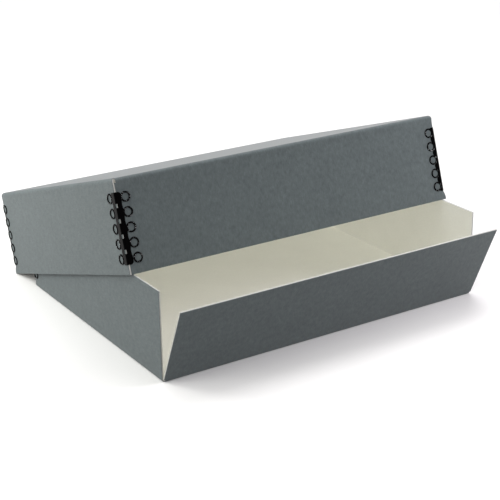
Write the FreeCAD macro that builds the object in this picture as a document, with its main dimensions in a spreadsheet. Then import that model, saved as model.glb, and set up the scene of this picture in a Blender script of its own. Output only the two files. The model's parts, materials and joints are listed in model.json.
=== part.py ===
import FreeCAD, Part
import os

import Sketcher
from FreeCAD import Vector

# A drop-front archival box: a base scored and folded from lined board, the drop front
# that turns about the crease along the base's front edge, and a separate lid of full
# depth. Pressed metal stays hold the corners where two walls meet.
#
# Frame: millimetres, +X along the box, +Y towards the back, +Z up. The origin is on the
# underside of the base, at the middle of its outline. The box stands open: the drop
# front leans out, and the lid is pushed back so that its front wall rests on the side
# walls of the base and its back wall comes down to the table.

PARTS_FOLDER = "parts"

# alias, value (millimetres, degrees or a count), meaning
DRIVING_SIZES = [
    ("box_length", 320.5, "base, outside, along X"),
    ("box_depth", 244.3, "base, outside, along Y, with the drop front closed"),
    ("box_height", 77.7, "base, outside, table to rim"),
    ("lid_height", 77.7, "lid, outside, rim to top"),
    ("lid_play", 1.6, "gap between the base and each wall of the lid"),
    ("board_thick", 1.2, "grey board of the folded sheets"),
    ("liner_thick", 0.3, "cream lining paper pasted inside the board"),
    ("fold_radius", 0.5, "inside radius of a fold, at the lining"),
    ("front_play", 0.2, "gap between the closed drop front and the side walls"),
    ("front_side_gap", 0.75, "by how much the drop front is narrower, at each end"),
    ("crease_gap", 0.15, "running gap between the crease and the drop front"),
    ("front_lean", 23.5, "lean of the open drop front from upright"),
    ("lid_shift", 42.15, "from the base's front face back to the lid's front rim"),
    ("rest_gap", 0.2, "gap under the lid where it rests on the base and the table"),
    ("stay_foot", 12.7, "from the lower edge of the walls to a stay's first ring"),
    ("stay_rings", 5, "rings on each leg of a stay"),
    ("stay_thick", 0.4, "sheet metal of a stay"),
    ("stay_spine", 5.5, "width of the plain strip beside the fold of a stay"),
    ("ring_pitch", 12.3, "from one ring to the next"),
    ("ring_offset", 9.0, "from the corner of the walls to the middle of a ring"),
    ("ring_radius", 4.4, "outside radius of a ring"),
    ("ring_bore", 3.0, "radius of the hole in a ring"),
    ("rim_inner", 3.2, "inside radius of a ring's raised rim"),
    ("rim_outer", 4.3, "outside radius of a ring's raised rim"),
    ("rim_rise", 0.6, "height of the raised rim above the sheet metal"),
    ("slot_height", 2.9, "height of a slot in the fold of a stay"),
    ("slot_reach", 1.1, "reach of a slot into each leg"),
    ("tooth_width", 1.0, "width of a ring's tooth"),
    ("tooth_thick", 0.3, "thickness of a ring's tooth"),
    ("clinch_reach", 4.2, "from the middle of a ring to the tip of a clinched tooth"),
]

# Expressions that several sub-parts share.
WALL = "(sizes.board_thick + sizes.liner_thick)"
HALF_LENGTH = "(sizes.box_length / 2)"
HALF_DEPTH = "(sizes.box_depth / 2)"
LID_HALF_LENGTH = f"({HALF_LENGTH} + {WALL} + sizes.lid_play)"
LID_HALF_DEPTH = f"({HALF_DEPTH} + {WALL} + sizes.lid_play)"
FOLD_OUTSIDE = f"(sizes.fold_radius + {WALL})"
FOLD_MIDDLE = "(sizes.fold_radius + sizes.liner_thick)"
# The crease's axis lies this far inside the front face and above the underside.
CREASE_RADIUS = f"({WALL} + sizes.front_play)"
CREASE_Y = f"({CREASE_RADIUS} - {HALF_DEPTH})"
# The lid leans back by the angle that brings its front rim down onto the base's rim
# while its back rim touches the table.
LID_TILT = f"asin(sizes.box_height / (2 * {LID_HALF_DEPTH} - {WALL}))"
PAST_EDGE = 5.0  # how far a cutting outline runs past what it cuts

doc = FreeCAD.newDocument("archival_box")


def make_size_sheet():
    sheet = doc.addObject("Spreadsheet::Sheet", "sizes")
    for row, (alias, value, meaning) in enumerate(DRIVING_SIZES, start=1):
        sheet.set(f"A{row}", meaning)
        sheet.set(f"B{row}", str(value))
        sheet.setAlias(f"B{row}", alias)
    doc.recompute()
    return sheet


sizes = make_size_sheet()


def value_of(expression):
    """The plain number that an expression gives with the sheet's present sizes."""
    result = sizes.evalExpression(expression)
    return float(getattr(result, "Value", result))


# ------------------------------------------------------------ sketches and features


def new_body(name):
    body = doc.addObject("PartDesign::Body", name)
    body.Label = name
    return body


def origin_feature(body, role):
    return next(item for item in body.Origin.OriginFeatures if item.Role == role)


def new_sketch(body, name, plane, offset="0"):
    """A sketch on an origin plane of the body, moved off it along the plane's normal."""
    sketch = body.newObject("Sketcher::SketchObject", name)
    sketch.AttachmentSupport = [(origin_feature(body, plane), "")]
    sketch.MapMode = "FlatFace"
    sketch.setExpression("AttachmentOffset.Base.z", offset)
    return sketch


def bind(sketch, constraint, expression):
    number = sketch.addConstraint(constraint)
    sketch.setExpression(f"Constraints[{number}]", expression)


def pin_point(sketch, geometry, point, across, up):
    """Fixes a point of the sketch by its distances from the sketch's origin."""
    for kind, expression in (("DistanceX", across), ("DistanceY", up)):
        distance = value_of(expression)
        bind(sketch, Sketcher.Constraint(kind, -1, 1, geometry, point, distance), expression)


def draw_rectangle(sketch, left, right, low, high):
    corners = [(left, low), (right, low), (right, high), (left, high)]
    points = [Vector(value_of(x), value_of(y), 0) for x, y in corners]
    first = sketch.GeometryCount
    for i in range(4):
        sketch.addGeometry(Part.LineSegment(points[i], points[(i + 1) % 4]))
    for i in range(4):
        following = first + (i + 1) % 4
        sketch.addConstraint(Sketcher.Constraint("Coincident", first + i, 2, following, 1))
    for i in (0, 1):
        sketch.addConstraint(Sketcher.Constraint("Horizontal", first + 2 * i))
        sketch.addConstraint(Sketcher.Constraint("Vertical", first + 2 * i + 1))
    pin_point(sketch, first, 1, left, low)
    pin_point(sketch, first + 2, 1, right, high)


def draw_circle(sketch, across, up, radius):
    centre = Vector(value_of(across), value_of(up), 0)
    circle = Part.Circle(centre, Vector(0, 0, 1), value_of(radius))
    number = sketch.addGeometry(circle)
    pin_point(sketch, number, 3, across, up)
    bind(sketch, Sketcher.Constraint("Radius", number, value_of(radius)), radius)


def extrude(kind, body, name, sketch, length, both_ways=False, reverse=False):
    """A Pad or a Pocket of the sketch, which has to change the body's volume."""
    before = body.Shape.Volume if body.Tip else 0.0
    feature = body.newObject(f"PartDesign::{kind}", name)
    feature.Profile = sketch
    feature.setExpression("Length", length)
    feature.Reversed = reverse
    feature.Midplane = both_ways
    doc.recompute()
    after = feature.Shape.Volume
    if (kind == "Pad" and after <= before) or (kind == "Pocket" and after >= before):
        raise RuntimeError(f"{name} of {body.Label} leaves the volume at {after:.3f}")
    return feature


def round_edges(body, name, radius, is_wanted):
    """Fillets those straight edges whose middle point passes the test."""
    base = body.Tip
    edges = [
        f"Edge{number}"
        for number, edge in enumerate(base.Shape.Edges, start=1)
        if is_wanted(edge.CenterOfMass)
    ]
    if not edges:
        raise RuntimeError(f"{name} of {body.Label} finds no edge")
    fillet = body.newObject("PartDesign::Fillet", name)
    fillet.Base = (base, edges)
    fillet.setExpression("Radius", radius)
    doc.recompute()


def repeat_upwards(body, name, originals, steps):
    """Repeats features up the body's Z axis, a ring's pitch apart."""
    pattern = body.newObject("PartDesign::LinearPattern", name)
    pattern.Originals = originals
    pattern.Direction = (origin_feature(body, "Z_Axis"), [""])
    pattern.setExpression("Length", f"({steps}) * sizes.ring_pitch")
    pattern.setExpression("Occurrences", f"{steps} + 1")
    body.Tip = pattern
    doc.recompute()


def lies_on(point, planes):
    """Whether a point lies on one of the planes, each an axis name and a place on it."""
    closeness = 0.001
    return any(abs(getattr(point, axis) - place) < closeness for axis, place in planes)


def placement_expression(x, y, z, axis, angle):
    position = f"create(<<vector>>; {x}; {y}; {z})"
    direction = "create(<<vector>>; {}; {}; {})".format(*axis)
    rotation = f"create(<<rotation>>; {direction}; {angle})"
    return f"create(<<placement>>; {position}; {rotation})"


LID_PLACEMENT = placement_expression(
    "0",
    f"sizes.lid_shift - {HALF_DEPTH} + {LID_HALF_DEPTH} * cos({LID_TILT})",
    f"sizes.rest_gap + {LID_HALF_DEPTH} * sin({LID_TILT})",
    (1, 0, 0),
    f"-1 * {LID_TILT}",
)


# ------------------------------------------------------------ folded trays


def make_tray(name, half_length, half_depth, height, outside, inside, radii, opens="up", front=None):
    """One layer of a folded tray, from its outside face to its inside face.

    outside and inside are the two faces' distances in from the outline, radii the
    rounding of the folds on each, and opens is the side without a panel. A tray with a
    front has no front wall: its floor and side walls end there.
    """
    body = new_body(name)
    upwards = opens == "up"
    faces = {}
    for face, inset in (("block", outside), ("hollow", inside)):
        back = f"({half_depth} - {inset})"
        side = f"({half_length} - {inset})"
        if front is None:
            near_end = f"-{back}"
        else:
            near_end = front if face == "block" else f"{front} - {PAST_EDGE}"
        outline = new_sketch(body, f"{face}_outline", "XY_Plane", inset if upwards else "0")
        draw_rectangle(outline, f"-{side}", side, near_end, back)
        kind = "Pad" if face == "block" else "Pocket"
        extrude(kind, body, face, outline, f"{height} - {inset}", reverse=kind == "Pocket")
        faces[face] = (side, back, inset)

    for face, radius in zip(("block", "hollow"), radii):
        side, back, inset = faces[face]
        level = value_of(inset if upwards else f"{height} - {inset}")
        planes = [("x", value_of(side)), ("x", -value_of(side)), ("y", value_of(back))]
        if front is None:
            planes.append(("y", -value_of(back)))

        def is_fold(middle, level=level, planes=planes):
            return lies_on(middle, [("z", level)]) and lies_on(middle, planes)

        round_edges(body, f"{face}_folds", radius, is_fold)
    return body


def make_base_board():
    """Floor, side walls and back wall of the base, with the crease before the floor."""
    body = make_tray(
        "base_board",
        HALF_LENGTH,
        HALF_DEPTH,
        "sizes.box_height",
        outside="0",
        inside="sizes.board_thick",
        radii=(FOLD_OUTSIDE, FOLD_MIDDLE),
        front=CREASE_Y,
    )
    crease_length = f"2 * ({HALF_LENGTH} - {FOLD_OUTSIDE})"
    roll = new_sketch(body, "crease_outline", "YZ_Plane")
    draw_circle(roll, CREASE_Y, CREASE_RADIUS, CREASE_RADIUS)
    extrude("Pad", body, "crease", roll, crease_length, both_ways=True)
    # The crease bulges forwards only: above the floor its inner half is cut away.
    inner_half = new_sketch(body, "crease_inner_half", "YZ_Plane")
    behind = f"{CREASE_Y} + 2 * {CREASE_RADIUS}"
    above = f"3 * {CREASE_RADIUS}"
    draw_rectangle(inner_half, CREASE_Y, behind, "sizes.board_thick", above)
    extrude("Pocket", body, "crease_trim", inner_half, crease_length, both_ways=True)
    return body


def make_base_liner():
    return make_tray(
        "base_liner",
        HALF_LENGTH,
        HALF_DEPTH,
        "sizes.box_height",
        outside="sizes.board_thick",
        inside=WALL,
        radii=(FOLD_MIDDLE, "sizes.fold_radius"),
        front=CREASE_Y,
    )


def make_lid_layer(name, outside, inside, radii):
    """A layer of the lid, built level with its rim at height 0, then laid back."""
    body = make_tray(
        name,
        LID_HALF_LENGTH,
        LID_HALF_DEPTH,
        "sizes.lid_height",
        outside,
        inside,
        radii,
        opens="down",
    )
    body.setExpression("Placement", LID_PLACEMENT)
    return body


# ------------------------------------------------------------ drop front


def make_front_layer(name, outside, inside):
    """A layer of the drop front, built upright with the crease's axis along X, then
    leaned out. outside and inside are its faces' distances in front of that axis."""
    body = new_body(name)
    outline = new_sketch(body, "panel_outline", "YZ_Plane")
    top = f"sizes.box_height - {CREASE_RADIUS}"
    draw_rectangle(outline, f"-{outside}", f"-{inside}", "0", top)
    width = "sizes.box_length - 2 * sizes.front_side_gap"
    extrude("Pad", body, "panel", outline, width, both_ways=True)
    hollow = new_sketch(body, "crease_room_outline", "YZ_Plane")
    draw_circle(hollow, "0", "0", f"{CREASE_RADIUS} + sizes.crease_gap")
    extrude("Pocket", body, "crease_room", hollow, f"{width} + {PAST_EDGE}", both_ways=True)
    body.setExpression(
        "Placement",
        placement_expression("0", CREASE_Y, CREASE_RADIUS, (1, 0, 0), "sizes.front_lean"),
    )
    return body


# ------------------------------------------------------------ corner stays

# The two legs of a stay: the plane its rings are drawn on, and whether that plane's
# normal points into the box. Both have the height of the stay as their second axis.
STAY_LEGS = [("XZ_Plane", True), ("YZ_Plane", False)]


def draw_teeth(sketch, reach):
    """Four teeth round a ring's bore, from the bore out to a radius."""
    centre = "-sizes.ring_offset"
    half = "sizes.tooth_width / 2"
    for way in ("1", "-1"):
        near_end, far_end = f"{way} * sizes.ring_bore", f"{way} * ({reach})"
        low, high = (near_end, far_end) if way == "1" else (far_end, near_end)
        draw_rectangle(sketch, f"{centre} + {low}", f"{centre} + {high}", f"-{half}", half)
        draw_rectangle(sketch, f"{centre} - {half}", f"{centre} + {half}", low, high)


def make_ring(body, leg, plane, normal_is_inwards):
    """One ring of a leg: its disc, bore and raised rim, and its teeth, which go through
    the wall and are clinched flat against the lining."""
    centre = "-sizes.ring_offset"
    disc = new_sketch(body, f"{leg}_disc_outline", plane)
    draw_circle(disc, centre, "0", "sizes.ring_radius")
    disc_pad = extrude("Pad", body, f"{leg}_disc", disc, "sizes.stay_thick", reverse=normal_is_inwards)

    bore = new_sketch(body, f"{leg}_bore_outline", plane)
    draw_circle(bore, centre, "0", "sizes.ring_bore")
    bore_cut = extrude("Pocket", body, f"{leg}_bore", bore, f"{PAST_EDGE}", both_ways=True)

    rim = new_sketch(body, f"{leg}_rim_outline", plane)
    draw_circle(rim, centre, "0", "sizes.rim_inner")
    draw_circle(rim, centre, "0", "sizes.rim_outer")
    rim_height = "sizes.stay_thick + sizes.rim_rise"
    rim_pad = extrude("Pad", body, f"{leg}_rim", rim, rim_height, reverse=normal_is_inwards)

    teeth = new_sketch(body, f"{leg}_teeth_outline", plane)
    draw_teeth(teeth, "sizes.ring_bore + sizes.tooth_thick")
    tooth_length = f"{WALL} + sizes.tooth_thick"
    outwards = not normal_is_inwards
    teeth_pad = extrude("Pad", body, f"{leg}_teeth", teeth, tooth_length, reverse=outwards)

    lining_face = WALL if normal_is_inwards else f"-1 * {WALL}"
    clinch = new_sketch(body, f"{leg}_clinch_outline", plane, lining_face)
    draw_teeth(clinch, "sizes.clinch_reach")
    clinch_pad = extrude("Pad", body, f"{leg}_clinch", clinch, "sizes.tooth_thick", reverse=outwards)
    return [disc_pad, bore_cut, rim_pad, teeth_pad, clinch_pad]


def make_stay(name, corner_x, corner_y, turn, carrier=None):
    """A corner stay. It is built for a corner whose walls run off along -X and -Y, with
    its lowest rings at height 0, turned about the corner and moved to its place."""
    body = new_body(name)
    bottom = "-sizes.ring_radius"
    spine_length = "(sizes.stay_rings - 1) * sizes.ring_pitch + 2 * sizes.ring_radius"
    around = new_sketch(body, "spine_outline", "XY_Plane", bottom)
    draw_rectangle(around, "-sizes.stay_spine", "sizes.stay_thick", "-sizes.stay_spine", "sizes.stay_thick")
    extrude("Pad", body, "spine", around, spine_length)
    walls = new_sketch(body, "walls_outline", "XY_Plane", bottom)
    past = f"-sizes.stay_spine - {PAST_EDGE}"
    draw_rectangle(walls, past, "0", past, "0")
    extrude("Pocket", body, "walls_room", walls, spine_length, reverse=True)
    fold = value_of("sizes.stay_thick")
    round_edges(
        body,
        "fold",
        "sizes.stay_thick",
        lambda middle: lies_on(middle, [("x", fold)]) and lies_on(middle, [("y", fold)]),
    )

    rings = []
    for plane, normal_is_inwards in STAY_LEGS:
        rings += make_ring(body, f"leg_{plane[:2].lower()}", plane, normal_is_inwards)
    repeat_upwards(body, "rings", rings, "sizes.stay_rings - 1")

    slot_bottom = "(sizes.ring_pitch - sizes.slot_height) / 2"
    past_fold = f"{PAST_EDGE}"
    slot = new_sketch(body, "slot_outline", "XY_Plane", slot_bottom)
    draw_rectangle(slot, "-sizes.slot_reach", past_fold, "-sizes.slot_reach", past_fold)
    slot_cut = extrude("Pocket", body, "slot", slot, "sizes.slot_height", reverse=True)
    repeat_upwards(body, "slots", [slot_cut], "sizes.stay_rings - 2")

    place = placement_expression(corner_x, corner_y, "sizes.stay_foot", (0, 0, 1), turn)
    body.setExpression("Placement", f"{carrier} * {place}" if carrier else place)
    return body


def make_stays():
    """Two stays at the back corners of the base and four on the lid."""
    stays = [
        make_stay("base_stay_rear_right", HALF_LENGTH, HALF_DEPTH, 0),
        make_stay("base_stay_rear_left", f"-1 * {HALF_LENGTH}", HALF_DEPTH, 90),
    ]
    lid_corners = [
        ("rear_right", 1, 1, 0),
        ("rear_left", -1, 1, 90),
        ("front_left", -1, -1, 180),
        ("front_right", 1, -1, 270),
    ]
    for corner, side, end, turn in lid_corners:
        corner_x = f"{side} * {LID_HALF_LENGTH}"
        corner_y = f"{end} * {LID_HALF_DEPTH}"
        stays.append(make_stay(f"lid_stay_{corner}", corner_x, corner_y, turn, LID_PLACEMENT))
    return stays


# ------------------------------------------------------------ checks and files


def check_document(sub_parts):
    for item in doc.Objects:
        if {"Invalid", "Error"} & set(item.State):
            raise RuntimeError(f"{item.Label} is {item.State}")
    for body in sub_parts:
        if body.Shape.isNull() or not body.Shape.isValid() or len(body.Shape.Solids) != 1:
            raise RuntimeError(f"{body.Label} has no single valid solid")


def write_steps(sub_parts):
    os.makedirs(PARTS_FOLDER, exist_ok=True)
    for body in sub_parts:
        body.Shape.exportStep(os.path.join(PARTS_FOLDER, f"{body.Label}.step"))
        box = body.Shape.BoundBox
        size = f"{box.XLength:.1f} x {box.YLength:.1f} x {box.ZLength:.1f} mm"
        print(f"{body.Label}: {size}, {body.Shape.Volume / 1000:.2f} cm3")


def main():
    board_radii = (FOLD_OUTSIDE, FOLD_MIDDLE)
    liner_radii = (FOLD_MIDDLE, "sizes.fold_radius")
    front_outside = CREASE_RADIUS
    front_seam = "(sizes.front_play + sizes.liner_thick)"
    sub_parts = [
        make_base_board(),
        make_base_liner(),
        make_front_layer("drop_front_board", front_outside, front_seam),
        make_front_layer("drop_front_liner", front_seam, "sizes.front_play"),
        make_lid_layer("lid_board", "0", "sizes.board_thick", board_radii),
        make_lid_layer("lid_liner", "sizes.board_thick", WALL, liner_radii),
    ]
    sub_parts += make_stays()
    doc.recompute()
    check_document(sub_parts)
    write_steps(sub_parts)


main()
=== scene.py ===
import json
import math
import random
from collections import namedtuple

import bmesh
import bpy
from mathutils import Matrix, Vector, noise


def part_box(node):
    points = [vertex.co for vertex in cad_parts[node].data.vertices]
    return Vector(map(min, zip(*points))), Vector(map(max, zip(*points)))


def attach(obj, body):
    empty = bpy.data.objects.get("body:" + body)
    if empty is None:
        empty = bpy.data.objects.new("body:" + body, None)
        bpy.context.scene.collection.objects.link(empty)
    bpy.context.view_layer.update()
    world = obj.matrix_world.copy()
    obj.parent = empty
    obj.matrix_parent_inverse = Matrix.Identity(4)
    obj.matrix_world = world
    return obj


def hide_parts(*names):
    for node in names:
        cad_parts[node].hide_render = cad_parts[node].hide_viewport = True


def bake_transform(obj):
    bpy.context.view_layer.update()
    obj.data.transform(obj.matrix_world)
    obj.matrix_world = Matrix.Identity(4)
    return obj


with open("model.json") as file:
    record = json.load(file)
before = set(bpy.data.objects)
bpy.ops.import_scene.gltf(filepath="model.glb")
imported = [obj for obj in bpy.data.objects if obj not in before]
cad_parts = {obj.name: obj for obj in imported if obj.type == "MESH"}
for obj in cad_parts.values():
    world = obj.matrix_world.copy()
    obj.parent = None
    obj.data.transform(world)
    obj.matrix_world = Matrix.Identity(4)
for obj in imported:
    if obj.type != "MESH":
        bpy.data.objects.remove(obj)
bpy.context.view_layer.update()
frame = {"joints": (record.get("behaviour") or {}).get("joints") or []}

# The looks of a drop-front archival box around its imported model. Metres, +X along the
# box, +Y towards the back, +Z up. Each folded sheet is drawn on its flat blank and then
# folded, so that board and lining follow the same scores, and the texture of the paper
# runs round the folds.

MM = 0.001

# ------------------------------------------------------------ sizes, from the frame

BOARD = 1.2 * MM
FACE_PLY = 0.3 * MM  # the board's grey outer ply
LINER = 0.3 * MM
WALL = BOARD + LINER
BASE_FOLD = 2.0 * MM  # outside radius of the folds of the base
LID_FOLD = 3.2 * MM  # the lid's are softer
SEAM = 0.12 * MM  # slit between the end of a wall and the wall that covers it
GLUE_LINE = 0.005 * MM  # between board and lining
LINER_TRIM = 0.1 * MM  # how far the lining stops short of the board's cut edges
BOARD_BEVEL = 0.15 * MM
LINER_BEVEL = 0.06 * MM
STAY_BEVEL = 0.05 * MM
RING_PITCH = 12.3 * MM
STAY_RINGS = 5
STAY_TOP = (STAY_RINGS - 1) * RING_PITCH  # from the first ring's middle to the last one's
STAY_FOOT = 12.7 * MM  # from the walls' lower edge to the first ring's middle
STAY_END = 4.6 * MM  # from the last ring's middle to the end of the strip
STAY_SPAN = (STAY_FOOT - STAY_END, STAY_FOOT + STAY_TOP + STAY_END)

# A corner with its stay:
#   side, end: the signs of its x and y
#   turn: degrees that its stay is turned from the rear right one
#   radius: how round the stay presses the board
#   shift: how far the stay has slipped round the corner, towards its second leg
#   web: how far the strip reaches out between the second leg's rings, or below zero
#       between the first leg's
#   fade: how far past the stay, towards the tray's closed side, the board is square again
Corner = namedtuple("Corner", "side end turn radius shift web fade")
CORNERS = {
    "rear_right": Corner(1, 1, 0, 3.0 * MM, 1.0 * MM, 0.0, 5 * MM),
    "rear_left": Corner(-1, 1, 90, 3.5 * MM, 4.2 * MM, -2.8 * MM, 25 * MM),
    "front_left": Corner(-1, -1, 180, 1.0 * MM, 0.4 * MM, 0.0, 5 * MM),
    "front_right": Corner(1, -1, 270, 3.5 * MM, -2.3 * MM, 2.9 * MM, 25 * MM),
}

_, base_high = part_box("base_board")
lid_low, lid_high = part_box("lid_board")
_, front_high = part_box("drop_front_board")
JOINTS = {joint["name"]: joint for joint in frame["joints"]}
CREASE = Vector(JOINTS["front_crease"]["pos_m"])
CREASE_RADIUS = CREASE.z
FRONT_LEAN = math.radians(-JOINTS["front_crease"]["range_deg"][0])
LIFT = Vector(JOINTS["lid_lift"]["axis"])
LID_TILT = math.atan2(LIFT.y, LIFT.z)

HALF_LENGTH = base_high.x
HALF_DEPTH = base_high.y
HEIGHT = base_high.z
LID_HALF_LENGTH = lid_high.x
LID_HALF_DEPTH = HALF_DEPTH + LID_HALF_LENGTH - HALF_LENGTH
LID_HEIGHT = HEIGHT
FRONT_HALF_LENGTH = front_high.x

lid_centre = Vector((
    0,
    lid_low.y + LID_HALF_DEPTH * math.cos(LID_TILT),
    lid_low.z + LID_HALF_DEPTH * math.sin(LID_TILT),
))
LID_PLACE = Matrix.Translation(lid_centre) @ Matrix.Rotation(-LID_TILT, 4, "X")
# A tray is drawn with its closed side down, so the lid's is turned over.
LID_TURNED_OVER = Matrix.Translation((0, 0, LID_HEIGHT)) @ Matrix.Rotation(math.pi, 4, "X")
LID_TRAY_PLACE = LID_PLACE @ LID_TURNED_OVER


# ------------------------------------------------------------ sheets from flat blanks

CRISP_ANGLE = math.radians(35)  # edges sharper than this aren't shaded smooth
EASED_ANGLE = math.radians(50)  # edges sharper than this are bevelled


def steps(start, stop, pitch):
    """Evenly spaced places from start to stop, about a pitch apart."""
    count = max(1, round(abs(stop - start) / pitch))
    return [start + (stop - start) * i / count for i in range(count + 1)]


def joined(*runs):
    """Runs of places, one after another, with no place twice."""
    places = list(runs[0])
    for run in runs[1:]:
        places += [place for place in run if abs(place - places[-1]) > 1e-9]
    return places


class Sheet:
    """A sheet of some thickness, built from cells of its flat blank.

    Each panel gives its own folding: a function of the blank's u and v and of the depth
    under the outer face. Points that a panel shares with the floor have one vertex. The
    depths run from the outer face to the inner one, and those between them part the plies
    that the cut edges show.
    """

    def __init__(self, depths):
        self.depths = depths
        self.corners = {}
        self.places = []
        self.blank = []
        self.cells = []

    def corner(self, key, u, v, fold):
        if key not in self.corners:
            self.corners[key] = len(self.blank)
            self.blank.append((u, v))
            self.places.append([fold(u, v, depth) for depth in self.depths])
        return self.corners[key]

    def add_panel(
        self, name, us, vs, fold, on_floor=lambda u, v: False, has_cell=lambda u, v: True
    ):
        """Adds the cells between the lines us and vs of the blank that has_cell keeps."""

        def key(u, v):
            return ("floor" if on_floor(u, v) else name, round(u, 7), round(v, 7))

        for u0, u1 in zip(us, us[1:]):
            for v0, v1 in zip(vs, vs[1:]):
                if has_cell((u0 + u1) / 2, (v0 + v1) / 2):
                    ring = [(u0, v0), (u1, v0), (u1, v1), (u0, v1)]
                    self.cells.append([self.corner(key(u, v), u, v, fold) for u, v in ring])

    def mesh(self, name, face_slots, place=Matrix.Identity(4)):
        """A closed mesh. face_slots are the material slots of the outer face, the inner
        face and each ply's cut edge."""
        open_edges = {}
        for cell in self.cells:
            for a, b in zip(cell, cell[1:] + cell[:1]):
                if (b, a) in open_edges:
                    del open_edges[(b, a)]
                elif (a, b) in open_edges:
                    del open_edges[(a, b)]
                else:
                    open_edges[(a, b)] = True
        rim = sorted({corner for edge in open_edges for corner in edge})
        everywhere = range(len(self.blank))
        layers = [everywhere] + [rim] * (len(self.depths) - 2) + [everywhere]
        vertices, points, numbers = [], [], []
        for level, corners in enumerate(layers):
            numbers.append({corner: len(vertices) + i for i, corner in enumerate(corners)})
            vertices += [place @ Vector(self.places[corner][level]) for corner in corners]
            points += [self.blank[corner] for corner in corners]
        faces = [list(reversed(cell)) for cell in self.cells]
        faces += [[numbers[-1][corner] for corner in cell] for cell in self.cells]
        slots = [face_slots[0]] * len(self.cells) + [face_slots[1]] * len(self.cells)
        for above, below, slot in zip(numbers, numbers[1:], face_slots[2:]):
            faces += [[above[a], above[b], below[b], below[a]] for a, b in open_edges]
            slots += [slot] * len(open_edges)
        data = bpy.data.meshes.new(name)
        data.from_pydata(vertices, [], faces)
        data.polygons.foreach_set("material_index", slots)
        uv = data.uv_layers.new(name="blank")
        for loop in data.loops:
            uv.data[loop.index].uv = points[loop.vertex_index]
        return data


def finished(name, data, materials, bevel):
    """An object from mesh data, with its normals outwards, smooth, and cut edges eased."""
    build = bmesh.new()
    build.from_mesh(data)
    bmesh.ops.recalc_face_normals(build, faces=build.faces)
    for face in build.faces:
        face.smooth = True
    for edge in build.edges:
        edge.smooth = len(edge.link_faces) == 2 and edge.calc_face_angle(0) < CRISP_ANGLE
    build.to_mesh(data)
    build.free()
    for material in materials:
        data.materials.append(material)
    piece = bpy.data.objects.new(name, data)
    bpy.context.scene.collection.objects.link(piece)
    ease = piece.modifiers.new("eased_edges", "BEVEL")
    ease.width = bevel
    ease.segments = 2
    ease.limit_method = "ANGLE"
    ease.angle_limit = EASED_ANGLE
    ease.use_clamp_overlap = True
    ease.harden_normals = True
    return piece


# ------------------------------------------------------------ folded trays

# How far apart the lines on the blank are: near a corner, elsewhere on the floor, up a
# wall, and up the drop front.
FINE = 0.8 * MM
COARSE = 8 * MM
WALL_STEP = 2.5 * MM
FRONT_STEP = 6 * MM

CORNER_REACH = 4 * MM  # how far the fine lines go from a corner
NOTCH = 1.2 * MM  # past its crease the drop front is cut back for this long
COVERED_FOOT = 0.5 * MM  # a covered wall's end starts at the first line past this
LEAST_END = 0.15  # the share of a rounded wall end that is left at the foot of its fold
PRESS_FADE = 5 * MM  # as a corner's fade, but towards the tray's open side

# How far the panels are out of flat, and how unevenly.
BASE_BOW = 0.15 * MM
LID_BOW = 0.3 * MM
WALL_RIPPLE = 0.12 * MM
FLOOR_CROWN = 0.25 * MM
FLOOR_RIPPLE = 0.1 * MM
FRONT_BOW = 0.2 * MM
FRONT_RIPPLE = 0.15 * MM
RIPPLES = 14  # a metre


def smooth(share):
    """Eases from 0 to 1."""
    share = min(1.0, max(0.0, share))
    return share * share * (3 - 2 * share)


def ripple(u, v, seed):
    """The slight unevenness of a sheet of board, from -1 to 1, over a few centimetres."""
    return noise.noise(Vector((u * RIPPLES, v * RIPPLES, seed)))


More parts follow.
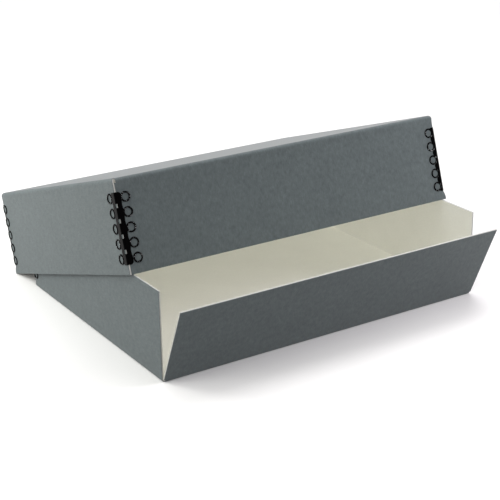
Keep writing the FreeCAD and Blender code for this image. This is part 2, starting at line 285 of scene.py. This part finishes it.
class Tray:
    """The blank of a folded tray and how each of its panels folds up."""

    def __init__(
        self,
        half_length,
        half_depth,
        height,
        fold,
        bow,
        seed,
        pressed,
        pressed_span,
        end_covers=None,
        open_front=False,
    ):
        self.half_length = half_length
        self.half_depth = half_depth
        self.height = height
        self.fold = fold
        self.arc = fold * math.pi / 2
        self.bow = bow
        self.seed = seed
        self.pressed = pressed
        self.pressed_span = pressed_span
        self.end_covers = end_covers
        self.open_front = open_front
        self.fold_u = half_length - self.fold
        self.fold_v = half_depth - self.fold
        self.front_v = CREASE.y if open_front else -self.fold_v
        self.front_end = CREASE.y if open_front else -half_depth

    def rise(self, past_fold, depth):
        """How far out and up a wall is, at a distance past its fold on the blank."""
        if past_fold < self.arc:
            angle = past_fold / self.fold
            reach = self.fold - depth
            return reach * math.sin(angle), self.fold - reach * math.cos(angle)
        return self.fold - depth, self.fold + past_fold - self.arc

    def rounded_end(self, place, fold_line, past_fold):
        """Where the end of a wall lies, which follows the round of the next fold."""
        past_end = abs(place) - fold_line
        if past_end <= 0 or past_fold >= self.arc:
            return place
        past_end *= max(LEAST_END, math.sin(past_fold / self.fold))
        return math.copysign(fold_line + past_end, place)

    def swell(self, along, past_fold):
        """How far a wall bows outwards: most at the middle of its rim, not at a stay."""
        up = max(0.0, past_fold - self.arc) / self.height
        held = (1 - along * along) ** 2
        return held * up * (self.bow + WALL_RIPPLE * ripple(along, past_fold, self.seed))

    def press(self, x, y, z):
        """Rounds a corner as far up as its stay goes, and leaves it sharp beyond."""
        side, end = math.copysign(1, x), math.copysign(1, y)
        radius, fade = self.pressed.get((side, end), (0.0, 1.0))
        across = abs(x) - (self.half_length - radius)
        along = abs(y) - (self.half_depth - radius)
        if not radius or across <= 0 or along <= 0:
            return (x, y, z)
        low, high = self.pressed_span
        hold = 1 - smooth(max((low - z) / fade, (z - high) / PRESS_FADE, 0.0))
        share = 1 + hold * (max(across, along) / math.hypot(across, along) - 1)
        x = side * (self.half_length - radius + share * across)
        y = end * (self.half_depth - radius + share * along)
        return (x, y, z)

    def floor(self, u, v, depth):
        """The closed side, a little crowned."""
        middle = (1 - (u / self.fold_u) ** 2) * (1 - (v / self.fold_v) ** 2)
        lift = max(0.0, middle) * (FLOOR_CROWN + FLOOR_RIPPLE * ripple(u, v, self.seed))
        return (u, v, depth + lift)

    def side_wall(self, u, v, depth):
        """The wall at either end of the length, folded up."""
        side = math.copysign(1, u)
        past_fold = abs(u) - self.fold_u
        out, up = self.rise(past_fold, depth)
        out += self.swell(v / self.half_depth, past_fold)
        if not (self.open_front and v < 0):
            v = self.rounded_end(v, self.fold_v, past_fold)
        return self.press(side * (self.fold_u + out), v, up)

    def end_wall(self, u, v, depth):
        """The wall in front or behind, folded up."""
        end = math.copysign(1, v)
        past_fold = abs(v) - self.fold_v
        out, up = self.rise(past_fold, depth)
        out += self.swell(u / self.half_length, past_fold)
        u = self.rounded_end(u, self.fold_u, past_fold)
        return self.press(u, end * (self.fold_v + out), up)

    def drop_front(self, u, v, depth):
        """The crease bends up to the front's present lean, about the joint's axis."""
        radius = CREASE_RADIUS - depth
        turn = math.pi / 2 - FRONT_LEAN
        past_crease = CREASE.y - v
        angle = min(past_crease / CREASE_RADIUS, turn)
        along = max(0.0, past_crease - CREASE_RADIUS * turn)
        held = 1 - (u / self.half_length) ** 2
        bow = FRONT_BOW + FRONT_RIPPLE * ripple(u, v, self.seed)
        radius -= held * along / self.height * bow
        y = CREASE.y - radius * math.sin(angle) - along * math.cos(turn)
        z = CREASE.z - radius * math.cos(angle) + along * math.sin(turn)
        return (u, y, z)

    def end_length(self, side, end, is_end_wall):
        """How far a wall reaches past the fold line at a corner: the wall that covers the
        corner runs to the outer face of the other, which stops short of its inner face."""
        covers = ((side, end) == self.end_covers) == is_end_wall
        return self.fold if covers else self.fold - WALL - SEAM

    def with_ends(self, lines, stops):
        """The lines of a wall with its two ends, which lie past the fold lines."""
        low = steps(-stops[0], lines[0], FINE)
        return joined(low, lines, steps(lines[-1], stops[1], FINE))

    def lines(self, low, high):
        """Lines across the blank, close together near the corners."""
        return joined(
            steps(low, low + CORNER_REACH, FINE),
            steps(low + CORNER_REACH, high - CORNER_REACH, COARSE),
            steps(high - CORNER_REACH, high, FINE),
        )

    def sheet(self, depths, trim=0.0):
        """One layer of the tray. A trimmed layer stops short of every cut edge."""
        rim = self.arc + self.height - self.fold - trim
        climb = joined(
            steps(0, self.arc, self.arc / 6),
            steps(self.arc, self.arc + NOTCH, NOTCH / 2),
            steps(self.arc + NOTCH, rim, WALL_STEP),
        )
        us = self.lines(-self.fold_u, self.fold_u)
        vs = self.lines(self.front_v, self.fold_v)

        def on_floor(u, v):
            reach = 1e-7
            return abs(u) < self.fold_u + reach and self.front_v - reach < v < self.fold_v + reach

        sheet = Sheet(depths)
        sheet.add_panel("floor", us, vs, self.floor, on_floor)

        def shown(past_end, past_fold, end_length):
            """Whether a wall has a cell past its end's fold line: a covering wall has it from
            the floor up, and a covered one only above the next wall's fold."""
            above_fold = past_fold > self.arc + COVERED_FOOT
            return past_end < 0 or above_fold or end_length > self.fold - WALL

        for side in (-1, 1):
            lines = sorted(side * (self.fold_u + place) for place in climb)
            ends = [self.end_length(side, end, False) for end in (-1, 1)]
            side_vs = self.with_ends(vs, [self.fold_v + length - trim for length in ends])
            if self.open_front:
                side_vs = [v for v in side_vs if v > self.front_end] + [self.front_end]
            sheet.add_panel(
                f"side{side}",
                lines,
                sorted(side_vs),
                self.side_wall,
                on_floor,
                lambda u, v: shown(
                    abs(v) - self.fold_v, abs(u) - self.fold_u, ends[v > 0]
                ),
            )
        for end in (1,) if self.open_front else (-1, 1):
            lines = sorted(end * (self.fold_v + place) for place in climb)
            ends = [self.end_length(side, end, True) for side in (-1, 1)]
            sheet.add_panel(
                f"end{end}",
                self.with_ends(us, [self.fold_u + length - trim for length in ends]),
                lines,
                self.end_wall,
                on_floor,
                lambda u, v: shown(
                    abs(u) - self.fold_u, abs(v) - self.fold_v, ends[u > 0]
                ),
            )
        if self.open_front:
            self.add_drop_front(sheet, us, on_floor, trim)
        return sheet

    def add_drop_front(self, sheet, us, on_floor, trim):
        """Adds the drop front, which is wider than the floor past the notches."""
        arc = CREASE_RADIUS * (math.pi / 2 - FRONT_LEAN)
        notch = arc + NOTCH
        top = arc + self.height - CREASE_RADIUS - trim
        run = joined(
            steps(0, arc, arc / 8),
            steps(arc, notch, NOTCH / 3),
            steps(notch, top, FRONT_STEP),
        )
        edge = FRONT_HALF_LENGTH - trim
        sheet.add_panel(
            "front",
            joined([-edge], us, [edge]),
            sorted(self.front_v - place for place in run),
            self.drop_front,
            on_floor,
            lambda u, v: abs(u) < self.fold_u or v < self.front_v - notch,
        )


def make_tray(name, tray, place, board_materials, lining_material):
    """The board and the lining of a folded tray, as two pieces. The outer ply's cut edge
    has the colour of the face, and the rest of it the core's."""
    sheet = tray.sheet((0.0, FACE_PLY, BOARD))
    board = sheet.mesh(f"{name}_board_sheet", (0, 1, 0, 1), place)
    sheet = tray.sheet((BOARD + GLUE_LINE, WALL), trim=LINER_TRIM)
    lining = sheet.mesh(f"{name}_lining_sheet", (0, 0, 0), place)
    return (
        finished(f"{name}_board_sheet", board, board_materials, bevel=BOARD_BEVEL),
        finished(f"{name}_lining_sheet", lining, [lining_material], bevel=LINER_BEVEL),
    )


# ------------------------------------------------------------ corner stays

# A stay is drawn flat and then bent round its corner. Flat, it has a place across the
# strip (0 on its middle line), a height out of the board's face, and a place up the strip.

STAY_THICK = 0.4 * MM
STAY_SPINE = 5.7 * MM  # half of the strip's width
STAY_ROUND = 1.6 * MM  # the length of the strip's rounded ends
STAY_SQUARE = 3.0 * MM  # from the last ring's middle to where the round begins
STRIP_WAVE = 0.06  # how much the strip's width comes and goes along the rings
END_NARROWING = 0.3  # how much of its width a rounded end loses
RING_ACROSS = 9.3 * MM  # from the strip's middle line to its rings' middles
SLOT_HALF = 1.7 * MM  # half of a slot's length
SLOT_REACH = 1.25 * MM  # half of its width
LEAST_GAP = 0.12 * MM  # between two lines along the strip

# A ring in section, from the hole's back over the rolled metal to its foot: distance from
# its middle and height over the board, in millimetres.
RING_SECTION = [
    (2.96, -0.45), (2.94, -0.10), (2.98, 0.26), (3.14, 0.58), (3.40, 0.78), (3.70, 0.84),
    (4.00, 0.76), (4.24, 0.55), (4.38, 0.30), (4.40, 0.02), (3.90, 0.02), (3.24, 0.02),
    (3.10, -0.45),
]
# A clinched tooth, as it runs from the ring through the wall and bends out over the
# lining: distance from the ring's middle, depth under the board's face and half of its
# width, in millimetres.
TOOTH = [
    (3.10, 0.20, 0.75), (3.10, 0.90, 0.75), (3.12, 1.35, 0.72), (3.24, 1.60, 0.68),
    (3.46, 1.70, 0.60), (3.85, 1.68, 0.45), (4.30, 1.60, 0.22),
]
TOOTH_HALF_THICK = 0.12
TOOTH_BEND = 1.2  # the depth where it starts to bend
TOOTH_BEND_LENGTH = 0.4

RING_CREST = range(4, 6)  # the rows of the section where glints are painted on the enamel
RING_SIDES = 40
RING_STRAY = (0.15, 0.12)  # how far a ring may be off its place, across and up, in mm
RING_LEAN = 0.03  # how far it may lean, as a slope
BENT_RING = (-1, 0)  # the leg and number of the ring that is bent on one stay
BENT_SHIFT = 0.9 * MM
BENT_LEAN = 0.09


def add_loops(build, loops, closed_ring, painted_glints=()):
    """Quads between loops of points. A closed ring joins its last loop to its first, and
    otherwise the first and last loops are capped. The rows of quads that get painted glints
    have the second material."""
    rows = [[build.verts.new(point) for point in loop] for loop in loops]
    pairs = list(zip(rows, rows[1:]))
    if closed_ring:
        pairs.append((rows[-1], rows[0]))
    size = len(rows[0])
    for row, following in pairs:
        for i in range(size):
            j = (i + 1) % size
            face = build.faces.new((row[i], row[j], following[j], following[i]))
            face.material_index = int(i in painted_glints)
    if not closed_ring:
        build.faces.new(list(reversed(rows[0])))
        build.faces.new(rows[-1])


def stay_strip(build, shift, half_arc, web):
    """The strip of a stay with its slots, with lines close together where it bends."""
    slots = [RING_PITCH * (i + 0.5) for i in range(STAY_RINGS - 1)]
    rows = joined(steps(-STAY_END, -STAY_END + STAY_ROUND, STAY_ROUND / 8), [-1.5 * MM, 0])
    rows += [STAY_TOP - row for row in rows]
    for slot in slots:
        rows += steps(slot - SLOT_HALF, slot + SLOT_HALF, SLOT_HALF / 2)
        rows += [slot - RING_PITCH / 4, slot + RING_PITCH / 4]
    rows += [RING_PITCH * i for i in range(STAY_RINGS)]
    rows = sorted({round(row, 7) for row in rows})
    across = [-STAY_SPINE, -SLOT_REACH, SLOT_REACH, STAY_SPINE]
    bend = steps(-half_arc - shift, half_arc - shift, half_arc / 6)
    for place in bend + steps(-STAY_SPINE, STAY_SPINE, 1 * MM):
        gap = min(abs(place - other) for other in across)
        if abs(place) < STAY_SPINE and gap > LEAST_GAP:
            across.append(place)

    def width_share(z):
        """The strip is a little wider beside each ring, and its ends have round corners."""
        past_end = smooth((max(-z, z - STAY_TOP) - STAY_SQUARE) / STAY_ROUND)
        beside_ring = 1 - STRIP_WAVE + STRIP_WAVE * math.cos(2 * math.pi * z / RING_PITCH)
        return beside_ring - END_NARROWING * past_end * past_end

    def flat(u, z, depth):
        reach = abs(u) - SLOT_REACH
        if reach > 0:
            u = math.copysign(SLOT_REACH + reach * width_share(z), u)
        if web * u > 0:
            # A tenth of the web beside a ring, all of it midway between two.
            between_rings = 0.55 - 0.45 * math.cos(2 * math.pi * z / RING_PITCH)
            u += web * between_rings * max(0.0, reach / (STAY_SPINE - SLOT_REACH))
        return (u, STAY_THICK - depth, z)

    def solid(u, z):
        return abs(u) > SLOT_REACH or all(abs(z - slot) > SLOT_HALF for slot in slots)

    strip = Sheet((0.0, STAY_THICK))
    strip.add_panel("strip", sorted(across), rows, flat, has_cell=solid)
    build.from_mesh(strip.mesh("strip", (0, 0, 0)))


def stay_rings(build, chance, bent_ring):
    """The rings on both legs, none of them quite true, and the teeth behind them."""
    stray_across, stray_up = RING_STRAY
    for leg in (-1, 1):
        for ring in range(STAY_RINGS):
            middle = leg * RING_ACROSS + chance.uniform(-stray_across, stray_across) * MM
            level = ring * RING_PITCH + chance.uniform(-stray_up, stray_up) * MM
            lean = chance.uniform(-RING_LEAN, RING_LEAN)
            if (leg, ring) == bent_ring:
                middle += leg * BENT_SHIFT
                lean = -leg * BENT_LEAN
            loops = []
            for i in range(RING_SIDES):
                angle = 2 * math.pi * i / RING_SIDES
                spoke = Vector((math.cos(angle), 0, math.sin(angle)))
                loop = []
                for radius, height in RING_SECTION:
                    point = spoke * radius * MM
                    rise = height * MM + (lean * point.x if height > 0 else 0.0)
                    loop.append(point + Vector((middle, rise, level)))
                loops.append(loop)
            add_loops(build, loops, closed_ring=True, painted_glints=RING_CREST)
            for quarter in range(4):
                turn = math.pi * (quarter / 2 + chance.uniform(0.22, 0.28))
                stay_tooth(build, middle, level, turn)


def stay_tooth(build, middle, level, turn):
    """A tooth of a ring, turned about the ring's middle."""
    out = Vector((math.cos(turn), 0, math.sin(turn)))
    aside = Vector((-math.sin(turn), 0, math.cos(turn)))
    inward = Vector((0, -1, 0))
    place = Vector((middle, 0, level))
    loops = []
    for radius, depth, half_width in TOOTH:
        bent = min(1.0, max(0.0, (depth - TOOTH_BEND) / TOOTH_BEND_LENGTH))
        thickness = (out * (1 - bent) + inward * bent) * TOOTH_HALF_THICK
        centre = out * radius + inward * depth
        loops.append([
            (centre + side * half_width * aside + face * thickness) * MM + place
            for side, face in ((-1, -1), (1, -1), (1, 1), (-1, 1))
        ])
    add_loops(build, loops, closed_ring=False)


def make_stay(node, corner, place, body, materials, bent_ring=None):
    """A stay in place of its CAD node, bent round its corner and carried to its place."""
    radius = corner.radius
    half_arc = (radius + STAY_THICK / 2) * math.pi / 4
    build = bmesh.new()
    stay_strip(build, corner.shift, half_arc, corner.web)
    stay_rings(build, random.Random(node), bent_ring)
    for vertex in build.verts:
        u, height, z = vertex.co
        u += corner.shift
        angle = math.pi / 4 * (1 + min(1.0, max(-1.0, u / half_arc)))
        x = (radius + height) * math.sin(angle) - radius
        y = (radius + height) * math.cos(angle) - radius
        if u < 0:
            x += min(0.0, u + half_arc)
        else:
            y -= max(0.0, u - half_arc)
        vertex.co = (x, y, z)
    turn = Matrix.Rotation(math.radians(corner.turn), 4, "Z")
    bmesh.ops.transform(build, matrix=place @ turn, verts=build.verts)
    data = bpy.data.meshes.new(f"{node}_pressing")
    build.to_mesh(data)
    build.free()
    piece = finished(f"{node}_pressing", data, materials, bevel=STAY_BEVEL)
    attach(piece, body)
    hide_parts(node)


def make_stays(materials):
    """The stays at the lid's four corners and the base's two rear ones."""
    for name, corner in CORNERS.items():
        x, y = corner.side * LID_HALF_LENGTH, corner.end * LID_HALF_DEPTH
        place = LID_PLACE @ Matrix.Translation((x, y, STAY_FOOT))
        bent_ring = BENT_RING if name == "front_left" else None
        make_stay(f"lid_stay_{name}", corner, place, "lid", materials, bent_ring)
        if corner.end > 0:
            x, y = corner.side * HALF_LENGTH, corner.end * HALF_DEPTH
            place = Matrix.Translation((x, y, STAY_FOOT))
            make_stay(f"base_stay_{name}", corner, place, "base", materials)


# ------------------------------------------------------------ materials


class Nodes:
    """Shorthand for the nodes of one material."""

    def __init__(self, name):
        self.material = bpy.data.materials.new(name)
        self.material.use_nodes = True
        self.tree = self.material.node_tree
        self.shader = self.tree.nodes["Principled BSDF"]

    def add(self, kind, inputs=(), **settings):
        """A node with its settings, and its inputs linked or set."""
        node = self.tree.nodes.new(f"ShaderNode{kind}")
        for name, value in settings.items():
            setattr(node, name, value)
        for socket, value in dict(inputs).items():
            if isinstance(value, bpy.types.NodeSocket):
                self.tree.links.new(value, node.inputs[socket])
            else:
                node.inputs[socket].default_value = value
        return node

    def link(self, output, socket):
        self.tree.links.new(output, self.shader.inputs[socket])

    def set(self, **values):
        for name, value in values.items():
            self.shader.inputs[name.replace("_", " ")].default_value = value

    def blank_place(self, stretch=(1, 1, 1)):
        """Where a point lies on the flat blank, in metres."""
        uv = self.add("UVMap", uv_map="blank")
        return self.add("Mapping", {"Vector": uv.outputs["UV"], "Scale": stretch}).outputs["Vector"]

    def mottle(self, place, scale, detail, roughness=0.55):
        """Noise from 0 to 1. The scale is about how many clouds there are in a metre."""
        node = self.add(
            "TexNoise", {"Vector": place, "Scale": scale, "Detail": detail, "Roughness": roughness}
        )
        return node.outputs["Fac"]

    def tinted(self, amount, dark, light):
        """Colours from dark to light as an amount goes from 0.3 to 0.7."""
        ramp = self.add("ValToRGB", {"Fac": amount})
        ramp.color_ramp.elements[0].position = 0.3
        ramp.color_ramp.elements[1].position = 0.7
        ramp.color_ramp.elements[0].color = (*dark, 1)
        ramp.color_ramp.elements[1].color = (*light, 1)
        return ramp.outputs["Color"]

    def blended(self, share, first, second, mode="MIX"):
        mix = self.add("Mix", data_type="RGBA", blend_type=mode)
        for socket, value in ((0, share), (6, first), (7, second)):
            if isinstance(value, bpy.types.NodeSocket):
                self.tree.links.new(value, mix.inputs[socket])
            else:
                mix.inputs[socket].default_value = value
        return mix.outputs[2]

    def bump(self, height, strength, distance):
        node = self.add("Bump", {"Height": height, "Strength": strength, "Distance": distance})
        self.link(node.outputs["Normal"], "Normal")


def board_material():
    """Blue-grey paper face of the board: fibres, faint clouds and a soft sheen."""
    make = Nodes("grey_board_face")
    clouds = make.mottle(make.blank_place(), 40, 3)
    blotches = make.mottle(make.blank_place((1, 0.7, 1)), 260, 4, 0.6)
    fibres = make.mottle(make.blank_place((1, 0.35, 1)), 900, 3, 0.7)
    tone = make.tinted(clouds, (0.0945, 0.113, 0.1165), (0.1025, 0.1225, 0.126))
    blotch_tone = make.tinted(blotches, (0.87, 0.87, 0.875), (1.13, 1.13, 1.125))
    fibre_tone = make.tinted(fibres, (0.85, 0.85, 0.85), (1.13, 1.13, 1.13))
    colour = make.blended(1.0, tone, blotch_tone, "MULTIPLY")
    make.link(make.blended(1.0, colour, fibre_tone, "MULTIPLY"), "Base Color")
    make.set(Roughness=0.58, Specular_IOR_Level=0.25, Sheen_Weight=0.27, Sheen_Roughness=0.35)
    make.bump(fibres, 0.3, 0.00012)
    return make.material


def core_material():
    """Off-white core of the board, as its cut edges show it."""
    make = Nodes("board_core")
    plies = make.mottle(make.blank_place(), 1500, 2)
    make.link(make.tinted(plies, (0.40, 0.40, 0.385), (0.48, 0.48, 0.465)), "Base Color")
    make.set(Roughness=0.9, Specular_IOR_Level=0.2)
    make.bump(plies, 0.3, 0.00015)
    return make.material


def lining_material():
    """Cream lining paper, smooth, with faint clouds and fibres."""
    make = Nodes("cream_lining_paper")
    clouds = make.mottle(make.blank_place(), 30, 4)
    fibres = make.mottle(make.blank_place((1, 0.4, 1)), 800, 3, 0.65)
    tone = make.tinted(clouds, (0.625, 0.62, 0.585), (0.655, 0.65, 0.615))
    fibre_tone = make.tinted(fibres, (0.97, 0.97, 0.97), (1.02, 1.02, 1.02))
    make.link(make.blended(1.0, tone, fibre_tone, "MULTIPLY"), "Base Color")
    make.set(Roughness=0.62, Specular_IOR_Level=0.35)
    make.bump(fibres, 0.15, 0.0001)
    return make.material


def enamel_material(name, painted_glints):
    """Glossy black enamel over pressed steel, a little uneven. Small light grey spots can be
    painted into its colour as glints, which stand in for highlights on the rims."""
    make = Nodes(name)
    place = make.add("TexCoord").outputs["Object"]
    film = make.mottle(place, 900, 2)
    tone = make.tinted(film, (0.0006, 0.0006, 0.0007), (0.0014, 0.0014, 0.0016))
    if painted_glints:
        # Painted glints: small light grey spots in the base colour stand in for highlights on the
        # rings' crests.
        glint_spots = make.mottle(place, 1500, 1)
        glint_mask = make.add("MapRange", {"Value": glint_spots, "From Min": 0.64, "From Max": 0.68})
        tone = make.blended(glint_mask.outputs["Result"], tone, (0.6, 0.6, 0.61, 1))
    make.link(tone, "Base Color")
    gloss = make.add("MapRange", {"Value": film, "To Min": 0.12, "To Max": 0.24})
    make.link(gloss.outputs["Result"], "Roughness")
    make.set(Specular_IOR_Level=0.03)
    make.bump(film, 0.2, 0.00005)
    return make.material


# ------------------------------------------------------------ box


def pressed_corners(ends):
    """The radius and fade of each corner of a tray that has a stay. The keys of ends are the
    ends of the box with stays, and its values the same ends as the tray is drawn."""
    return {
        (corner.side, ends[corner.end]): (corner.radius, corner.fade)
        for corner in CORNERS.values()
        if corner.end in ends
    }


def make_box():
    """Makes all pieces of the box and gives back its linings."""
    boards = [board_material(), core_material()]
    lining = lining_material()
    linings = []
    base = Tray(
        HALF_LENGTH,
        HALF_DEPTH,
        HEIGHT,
        BASE_FOLD,
        BASE_BOW,
        seed=3.1,
        pressed=pressed_corners({1: 1}),
        pressed_span=STAY_SPAN,
        open_front=True,
    )
    for piece, nodes, slot in zip(
        make_tray("base", base, Matrix.Identity(4), boards, lining),
        (("base_board", "drop_front_board"), ("base_liner", "drop_front_liner")),
        ("grey_board", "cream_lining"),
    ):
        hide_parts(*nodes)
        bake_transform(piece)
        if slot == "cream_lining":
            linings.append(piece)
    lid = Tray(
        LID_HALF_LENGTH,
        LID_HALF_DEPTH,
        LID_HEIGHT,
        LID_FOLD,
        LID_BOW,
        seed=8.7,
        pressed=pressed_corners({1: -1, -1: 1}),
        pressed_span=(LID_HEIGHT - STAY_SPAN[1], LID_HEIGHT - STAY_SPAN[0]),
        end_covers=(1, 1),
    )
    for piece, node, slot in zip(
        make_tray("lid", lid, LID_TRAY_PLACE, boards, lining),
        ("lid_board", "lid_liner"),
        ("grey_board", "cream_lining"),
    ):
        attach(piece, "lid")
        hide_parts(node)
        if slot == "cream_lining":
            linings.append(piece)
    make_stays([
        enamel_material("black_enamel_metal", painted_glints=False),
        # The second material paints light grey glints on the rings' crests.
        enamel_material("enamel_with_painted_glints", painted_glints=True),
    ])
    return linings


# ------------------------------------------------------------ studio

CAMERA_PLACE = Vector((-0.6054, -0.9491, 0.4725))
CAMERA_HEADING = math.radians(32.56)  # from +Y towards +X
CAMERA_DIP = math.radians(21.08)
CAMERA_ROLL = math.radians(-0.76)
CAMERA_LENS = 95.3  # millimetres, on a sensor 36 mm wide


def make_camera():
    """The photographer's place, with the camera's three directions from its angles."""
    ahead = Vector((
        math.sin(CAMERA_HEADING) * math.cos(CAMERA_DIP),
        math.cos(CAMERA_HEADING) * math.cos(CAMERA_DIP),
        -math.sin(CAMERA_DIP),
    ))
    level = Vector((math.cos(CAMERA_HEADING), -math.sin(CAMERA_HEADING), 0))
    above = level.cross(ahead)
    right = level * math.cos(CAMERA_ROLL) + above * math.sin(CAMERA_ROLL)
    up = above * math.cos(CAMERA_ROLL) - level * math.sin(CAMERA_ROLL)
    data = bpy.data.cameras.new("camera")
    data.sensor_width = 36
    data.lens = CAMERA_LENS
    data.clip_start = 0.05
    camera = bpy.data.objects.new("camera", data)
    turn = Matrix((right, up, -ahead)).transposed().to_4x4()
    camera.matrix_world = Matrix.Translation(CAMERA_PLACE) @ turn
    bpy.context.scene.collection.objects.link(camera)
    bpy.context.scene.camera = camera


# The studio's broad lights: bearing from +X towards +Y and height over the floor in
# degrees, strength, and colour. The fill has its own spread too.
LIGHTS = {
    "left": (180, 62, 0.54, (1.0, 1.0, 0.96)),
    "left_low": (180, 32, 1.27, (1.0, 1.0, 0.96)),
    "left_back": (130, 62, 0.48, (1.0, 1.0, 0.96)),
    "right_back": (50, 62, 1.22, (1.02, 1.0, 1.02)),
}
LINING_FILL = (165, 50, 1.8, (1.0, 0.995, 0.88), math.radians(60))
LIGHT_SPREAD = math.radians(40)
NOT_ON_LININGS = ("left_low", "right_back")  # the lights that skip the linings
WORLD_STRENGTH = 0.44


def make_sun(name, bearing, height, energy, colour, spread=LIGHT_SPREAD):
    """A broad distant light shining on the box from a bearing and height."""
    bearing, height = math.radians(bearing), math.radians(height)
    source = Vector((
        math.cos(bearing) * math.cos(height), math.sin(bearing) * math.cos(height), math.sin(height)
    ))
    data = bpy.data.lights.new(name, "SUN")
    data.energy = energy
    data.angle = spread
    data.color = colour
    light = bpy.data.objects.new(name, data)
    light.rotation_mode = "QUATERNION"
    light.rotation_quaternion = source.to_track_quat("Z", "Y")
    bpy.context.scene.collection.objects.link(light)
    return light


# Panels that stand near the box, so that their light falls off along it: place, power in
# watts, and colour.
PANELS = {
    "front_right_panel": ((0.55, -0.45, 0.38), 3.15, (1.06, 1.0, 1.05)),
    "left_back_panel": ((-0.50, 0.40, 0.30), 2.15, (1.0, 1.0, 0.96)),
}
PANEL_SIZE = 0.3
PANEL_AIM = Vector((0, -0.1, 0.05))


def make_panel(name, place, power, colour):
    """A soft panel aimed at the box, which no reflection shows."""
    data = bpy.data.lights.new(name, "AREA")
    data.energy = power
    data.size = PANEL_SIZE
    data.color = colour
    light = bpy.data.objects.new(name, data)
    light.location = place
    light.rotation_mode = "QUATERNION"
    light.rotation_quaternion = (Vector(place) - PANEL_AIM).to_track_quat("Z", "Y")
    light.visible_camera = False
    light.visible_glossy = False
    bpy.context.scene.collection.objects.link(light)
    return light


def shine(light, state, pieces, name):
    """Makes a light shine on some pieces alone, or on all but them."""
    lit = bpy.data.collections.new(name)
    for piece in pieces:
        lit.objects.link(piece)
    for link in lit.collection_objects:
        link.light_linking.link_state = state
    light.light_linking.receiver_collection = lit


def make_lining_fill(linings, floor):
    """A soft fill for the linings alone, which the lid doesn't shade. Rays that leave the
    linings by chance do meet the lid, so the light isn't to be sampled by them."""
    light = make_sun("lining_fill", *LINING_FILL)
    light.data.cycles.use_multiple_importance_sampling = False
    shine(light, "INCLUDE", linings, "linings")
    shading = bpy.data.collections.new("shades_linings")
    shading.objects.link(floor)
    light.light_linking.blocker_collection = shading


FLOOR_HALF = 8.0
FLOOR_GAP = 0.1 * MM  # below the box, so that the two don't share a plane


def make_floor():
    """A pale floor. It's hidden from the rays that gather the box's diffuse light, so that
    the world lights the box from below."""
    data = bpy.data.meshes.new("floor")
    half = FLOOR_HALF
    corners = [(-half, -half, 0), (half, -half, 0), (half, half, 0), (-half, half, 0)]
    data.from_pydata(corners, [], [(0, 1, 2, 3)])
    make = Nodes("pale_floor")
    make.set(Base_Color=(0.8, 0.8, 0.8, 1), Roughness=0.9, Specular_IOR_Level=0.1)
    data.materials.append(make.material)
    floor = bpy.data.objects.new("floor", data)
    floor.location.z = -FLOOR_GAP
    bpy.context.scene.collection.objects.link(floor)
    floor.visible_diffuse = False
    return floor


def make_studio(linings):
    """The world, lights, floor and camera."""
    world = bpy.data.worlds.new("studio")
    world.use_nodes = True
    background = world.node_tree.nodes["Background"]
    background.inputs["Color"].default_value = (1.0, 1.0, 1.0, 1)
    background.inputs["Strength"].default_value = WORLD_STRENGTH
    bpy.context.scene.world = world
    lights = {name: make_sun(name, *setting) for name, setting in LIGHTS.items()}
    lights.update({name: make_panel(name, *setting) for name, setting in PANELS.items()})
    for name in NOT_ON_LININGS:
        shine(lights[name], "EXCLUDE", linings, f"not_by_{name}")
    make_lining_fill(linings, make_floor())
    make_camera()
    bpy.context.scene.view_settings.view_transform = "Standard"


make_studio(make_box())
